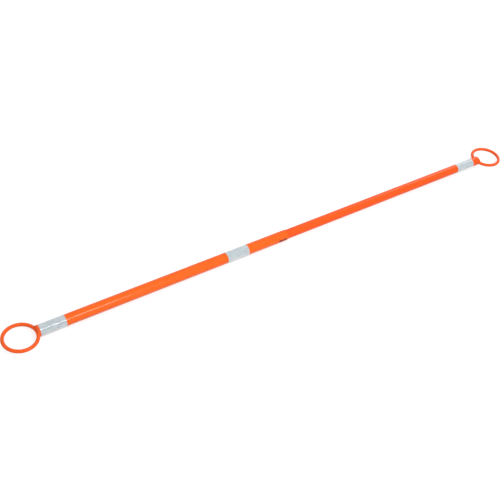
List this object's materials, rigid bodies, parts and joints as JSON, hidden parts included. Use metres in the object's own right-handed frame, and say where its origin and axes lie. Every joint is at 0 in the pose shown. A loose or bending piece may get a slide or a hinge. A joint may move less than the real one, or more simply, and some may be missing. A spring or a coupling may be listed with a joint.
{
  "type": "telescopic cone bar",
  "caption": "Telescopic barrier bar of sliding tubes with reflective bands, a ring at each end that drops over a traffic cone, and an inner twist lock that holds its length.",
  "frame": {"origin": "centre of the left ring, the one on the larger tube", "axes": "+X along the bar towards the right ring; +Z square to the rings, up when the rings lie over cones"},
  "size_m": [2.1479, 0.1204, 0.0386],
  "materials": {
    "tube_orange": "smooth extruded, satin gloss",
    "cap_orange": "moulded, satin",
    "reflective_tape": "retro-reflective sheeting",
    "lock_grey": "moulded",
    "lock_black": "moulded",
    "lock_steel": "zinc plated"
  },
  "bodies": {
    "outer": {"outer_tube": "tube_orange", "mouth_bush": "tube_orange", "left_ring_cap": "cap_orange", "left_band": "reflective_tape", "middle_band": "reflective_tape"},
    "collet": {"lock_collet": "lock_black"},
    "inner": {"inner_tube": "tube_orange", "right_ring_cap": "cap_orange", "right_band": "reflective_tape", "lock_plug": "lock_grey", "lock_washer": "lock_steel", "lock_screw": "lock_steel"},
    "wedge": {"lock_wedge": "lock_grey"}
  },
  "joints": [
    {"name": "extension", "type": "slide", "parent": "outer", "child": "collet", "axis": [1, 0, 0], "range_m": [-0.77, 0]},
    {"name": "lock_twist", "type": "hinge", "parent": "collet", "child": "inner", "pos_m": [0.91, 0, 0], "axis": [1, 0, 0], "range_deg": [0, 360]},
    {"name": "wedge_draw", "type": "slide", "parent": "collet", "child": "wedge", "axis": [1, 0, 0], "range_m": [-0.0021, 0]}
  ],
  "couplings": [
    {"joint": "wedge_draw", "follows": "lock_twist", "m_per_rad": -0.00031831}
  ]
}
